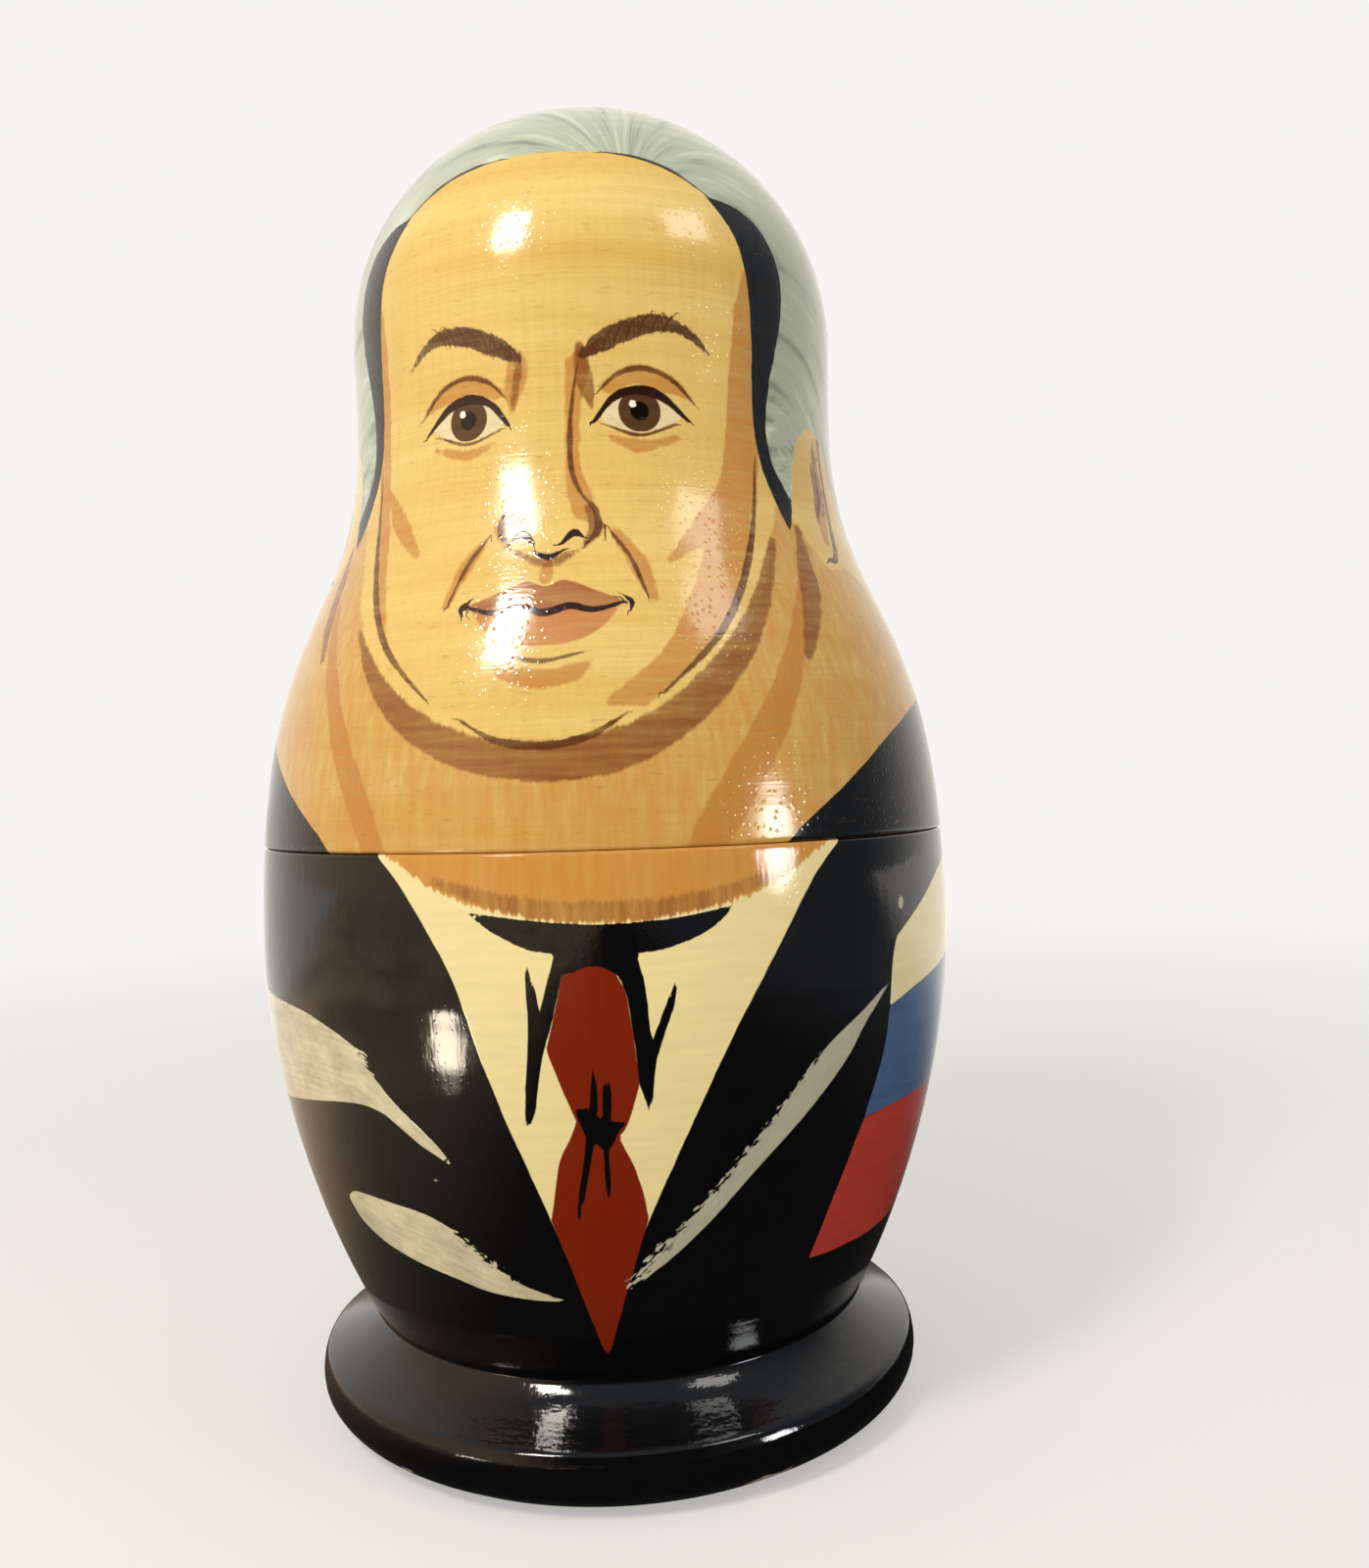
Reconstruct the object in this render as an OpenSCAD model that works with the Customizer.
// Seven-doll nesting set. The outer doll stands on its own turned foot, and each doll but the
// smallest parts at a spigot seam to hold the next one. Millimetres, +Z up, face towards -Y,
// origin at the centre of the outer foot's underside.

/* [Outer doll] */
// Overall height
doll_h = 168; // [150:1:190]
// Widest radius, at the belly
belly_r = 45.2; // [42:0.1:48]
// Height of the belly
belly_h = 60; // [56:0.5:64]
// Widest radius of the head
head_r = 31.9; // [30:0.1:34]
// Height of the crown above the widest part of the head
crown_rise = 30.5; // [27:0.5:34]
// Narrowest radius, at the neck
neck_r = 31.7; // [30:0.1:33]
// How far the neck lies below the widest part of the head
neck_drop = 10.5; // [8:0.5:14]

/* [Foot] */
// How far the turned foot stays inside the width of the belly
foot_inset = 5.8; // [4.2:0.1:6.7]
// Height where the foot is widest
foot_h = 4.9; // [3.5:0.1:7]
// How far the flat underside stays inside the foot
sole_inset = 7; // [3.4:0.1:9.4]
// How far the rim has turned in where the sloping top starts
rim_inset = 1; // [0.4:0.1:2.4]
// Height where the sloping top starts
rim_h = 7.8; // [7.2:0.1:9]
// How far the ankle, where the body grows out of the foot, stays inside the foot
ankle_inset = 7.1; // [5.4:0.1:9.4]
// Height of the ankle
ankle_h = 12.6; // [11:0.1:15]

/* [Seam] */
// Height of the parting line
seam_h = 72.6; // [68:0.1:78]
// Height of the spigot above the parting line
spigot_h = 9; // [6:0.1:12]
// Thickness of the spigot
spigot_t = 2.4; // [1.8:0.1:3]
// Space above the spigot inside the top half
spigot_room = 0.4; // [0.2:0.1:1]
// Wall of the top half outside the spigot, where it is thinnest
socket_wall = 2; // [1.5:0.1:2.5]
// Radial clearance of the spigot in its socket
fit_gap = 0.08; // [0.05:0.01:0.15]
// Bevel that breaks the two edges at the parting line
seam_bevel = 0.3; // [0.1:0.05:0.6]

/* [Walls] */
// Wall of the bottom half
bottom_wall = 5.5; // [5:0.1:7]
// Wall of the top half
top_wall = 5; // [4:0.1:5.5]
// Wood above the hollow at the crown
crown_wall = 8; // [6:0.1:10]
// Height of the floor that the next doll stands on
floor_h = 24.5; // [22:0.1:28]
// Bevel round the floor of the hollow
floor_bevel = 1.5; // [0.5:0.1:3]

/* [Nest] */
// Least side clearance between a doll and the hollow that holds it
nest_gap = 1; // [0.6:0.1:2]
// Film of air between a doll's sole and the floor that it stands on
stand_gap = 0.04; // [0.02:0.01:0.2]

/* [Hidden] */
$fn = 96;

// Radii of the foot follow the belly, and the heights of head and neck hang from the crown
foot_r = belly_r - foot_inset;
sole_r = foot_r - sole_inset;
rim_r = foot_r - rim_inset;
ankle_r = foot_r - ankle_inset;
head_h = doll_h - crown_rise;
neck_h = head_h - neck_drop;
// Curve handles: the share of its own stretch over which the outline keeps its starting direction
ankle_flare_shares = [0.42, 0.19];
belly_under_share = 0.36;
belly_over_share = 0.67;
neck_under_share = 0.42;
head_blend_share = 0.33;
slope_start_shares = [0.34, 0.25];
slope_end_shares = [0.19, 0.4];
// Faces along each stretch of the outline
rim_steps = 8;
slope_steps = 6;
belly_steps = 16;
seam_steps = 6;
shoulder_steps = 24;
neck_steps = 4;
crown_steps = 18;
hollow_steps = 18;
// Halvings and sample heights that size the next doll, and the sizes they search between
solve_steps = 30;
fit_samples = 40;
least_nest_share = 0.3;
most_nest_share = 0.95;

skin_colour = "#d9a24a";
suit_colours = ["#17181b", "#1d2740", "#4a3a2c", "#39413a", "#2c2c34", "#5a2430"];
smallest_colour = "#8a6a3c";

// Cubic curve through its first and last point
function curve(p, t) = p[0] * pow(1 - t, 3) + p[1] * 3 * t * pow(1 - t, 2)
    + p[2] * 3 * t * t * (1 - t) + p[3] * pow(t, 3);
function along(p, steps, from = 0, to = 1) = [for (i = [0:steps]) curve(p, from + (to - from) * i / steps)];
function tail(list) = [for (i = [1:len(list) - 1]) list[i]];
function reversed(list) = [for (i = [len(list) - 1:-1:0]) list[i]];

// The outline of the outer doll as radius and height, from the sole to the crown
rim_under = [for (i = [0:rim_steps]) [
    sole_r + (foot_r - sole_r) * sin(90 * i / rim_steps),
    foot_h - foot_h * cos(90 * i / rim_steps)
]];
rim_over = [for (i = [1:rim_steps]) [
    rim_r + (foot_r - rim_r) * cos(90 * i / rim_steps),
    foot_h + (rim_h - foot_h) * sin(90 * i / rim_steps)
]];
function part_way(from, to, shares) = [for (i = [0:1]) from[i] + (to[i] - from[i]) * shares[i]];
function stretch(from, to, start_shares, end_shares) = [
    from, part_way(from, to, start_shares), part_way(to, from, end_shares), to
];
rim = [rim_r, rim_h];
ankle = [ankle_r, ankle_h];
belly = [belly_r, belly_h];
neck = [neck_r, neck_h];
head = [head_r, head_h];
foot_slope = stretch(rim, ankle, slope_start_shares, slope_end_shares);
belly_curve = stretch(ankle, belly, ankle_flare_shares, [0, belly_under_share]);
shoulder_curve = stretch(belly, neck, [0, belly_over_share], [0, neck_under_share]);
head_curve = stretch(neck, head, [0, head_blend_share], [0, head_blend_share]);
function dome(r, from_h, to_h) = [for (i = [1:crown_steps]) [
    max(0, r * cos(90 * i / crown_steps)), from_h + (to_h - from_h) * sin(90 * i / crown_steps)
]];
foot_outline = concat(rim_under, rim_over, tail(along(foot_slope, slope_steps)));

// Radius of the outline at any height above the ankle
function share_at(p, z, low = 0, high = 1, left = solve_steps) = let (mid = (low + high) / 2)
    left == 0 ? mid
    : curve(p, mid)[1] < z ? share_at(p, z, mid, high, left - 1) : share_at(p, z, low, mid, left - 1);
function crown_r(r, z, from_h, to_h) = r * sqrt(max(0, 1 - pow((z - from_h) / (to_h - from_h), 2)));
function body_r(z) = z < belly_h ? curve(belly_curve, share_at(belly_curve, z))[0]
    : z < neck_h ? curve(shoulder_curve, share_at(shoulder_curve, z))[0]
    : z < head_h ? curve(head_curve, share_at(head_curve, z))[0]
    : crown_r(head_r, z, head_h, doll_h);

// The hollow of the closed outer doll
seam_r = body_r(seam_h);
seam_share = share_at(shoulder_curve, seam_h);
spigot_top = seam_h + spigot_h;
socket_top = spigot_top + spigot_room;
spigot_r = body_r(socket_top) - socket_wall;
mouth_r = spigot_r - spigot_t;
hollow_top = doll_h - crown_wall;
function hollow_r(z) = z < seam_h ? min(body_r(z) - bottom_wall, mouth_r)
    : z < socket_top ? mouth_r
    : z < head_h ? body_r(z) - top_wall
    : crown_r(head_r - top_wall, z, head_h, hollow_top);
function hollow_wall(from_h, to_h) = [for (i = [0:hollow_steps])
    let (z = from_h + (to_h - from_h) * i / hollow_steps) [hollow_r(z), z]];

// The next doll is as large as the hollow lets it be
fit_outline = concat(
    foot_outline,
    [for (i = [0:fit_samples]) let (z = ankle_h + (doll_h - ankle_h) * i / fit_samples) [body_r(z), z]]
);
function goes_in(share) = len([for (p = fit_outline) let (z = floor_h + stand_gap + share * p[1])
    if (z > hollow_top - nest_gap || share * p[0] + nest_gap > hollow_r(z)) 1]) == 0;
function largest(low, high, left = solve_steps) = let (mid = (low + high) / 2)
    left == 0 ? low : goes_in(mid) ? largest(mid, high, left - 1) : largest(low, mid, left - 1);
nest_share = largest(least_nest_share, most_nest_share);

// Size of each doll beside the outer one, and the height of the floor that it stands on
function doll_scale(level) = pow(nest_share, level);
function doll_base(level) = level == 0 ? 0
    : doll_base(level - 1) + floor_h * doll_scale(level - 1) + stand_gap;

module turned(outline, level) {
    translate([0, 0, doll_base(level)]) rotate_extrude() polygon(outline);
}

// Lower half: foot, belly, spigot and the hollow that the next doll stands in
module bottom_half(level) {
    outside = concat(
        foot_outline,
        tail(along(belly_curve, belly_steps)),
        tail(along(shoulder_curve, seam_steps, 0, seam_share))
    );
    below_seam = [for (p = outside) if (p[1] < seam_h - seam_bevel) p];
    spigot = [
        [body_r(seam_h - seam_bevel), seam_h - seam_bevel],
        [seam_r - seam_bevel, seam_h],
        [spigot_r, seam_h],
        [spigot_r, spigot_top - seam_bevel],
        [spigot_r - seam_bevel, spigot_top],
        [mouth_r, spigot_top]
    ];
    hollow = reversed(hollow_wall(floor_h + floor_bevel, seam_h));
    floor_edge = [[hollow_r(floor_h) - floor_bevel, floor_h], [0, floor_h]];
    outline = concat([[0, 0]], below_seam, spigot, hollow, floor_edge);
    color(suit_colours[level]) turned(outline * doll_scale(level), level);
}

// Upper half: shoulders and head over a hollow, with the socket for the spigot
module top_half(level) {
    s = doll_scale(level);
    socket_r = spigot_r * s + fit_gap;
    outside = concat(
        along(shoulder_curve, shoulder_steps, seam_share, 1),
        tail(along(head_curve, neck_steps)),
        dome(head_r, head_h, doll_h)
    );
    above_seam = [for (p = outside) if (p[1] > seam_h + seam_bevel) p];
    seam_edge = [[seam_r - seam_bevel, seam_h], [body_r(seam_h + seam_bevel), seam_h + seam_bevel]];
    hollow = concat(hollow_wall(socket_top, head_h), dome(head_r - top_wall, head_h, hollow_top));
    outline = concat(
        [[socket_r, seam_h * s]],
        concat(seam_edge, above_seam, reversed(hollow)) * s,
        [[socket_r, socket_top * s]]
    );
    color(skin_colour) turned(outline, level);
}

// The innermost doll is solid wood
module solid_doll(level) {
    outline = concat(
        [[0, 0]],
        foot_outline,
        tail(along(belly_curve, belly_steps)),
        tail(along(shoulder_curve, shoulder_steps)),
        tail(along(head_curve, neck_steps)),
        dome(head_r, head_h, doll_h)
    );
    color(smallest_colour) turned(outline * doll_scale(level), level);
}

top_half(0);  // outer_top
bottom_half(0);  // outer_bottom
top_half(1);  // second_top
bottom_half(1);  // second_bottom
top_half(2);  // third_top
bottom_half(2);  // third_bottom
top_half(3);  // fourth_top
bottom_half(3);  // fourth_bottom
top_half(4);  // fifth_top
bottom_half(4);  // fifth_bottom
top_half(5);  // sixth_top
bottom_half(5);  // sixth_bottom
solid_doll(6);  // smallest_doll
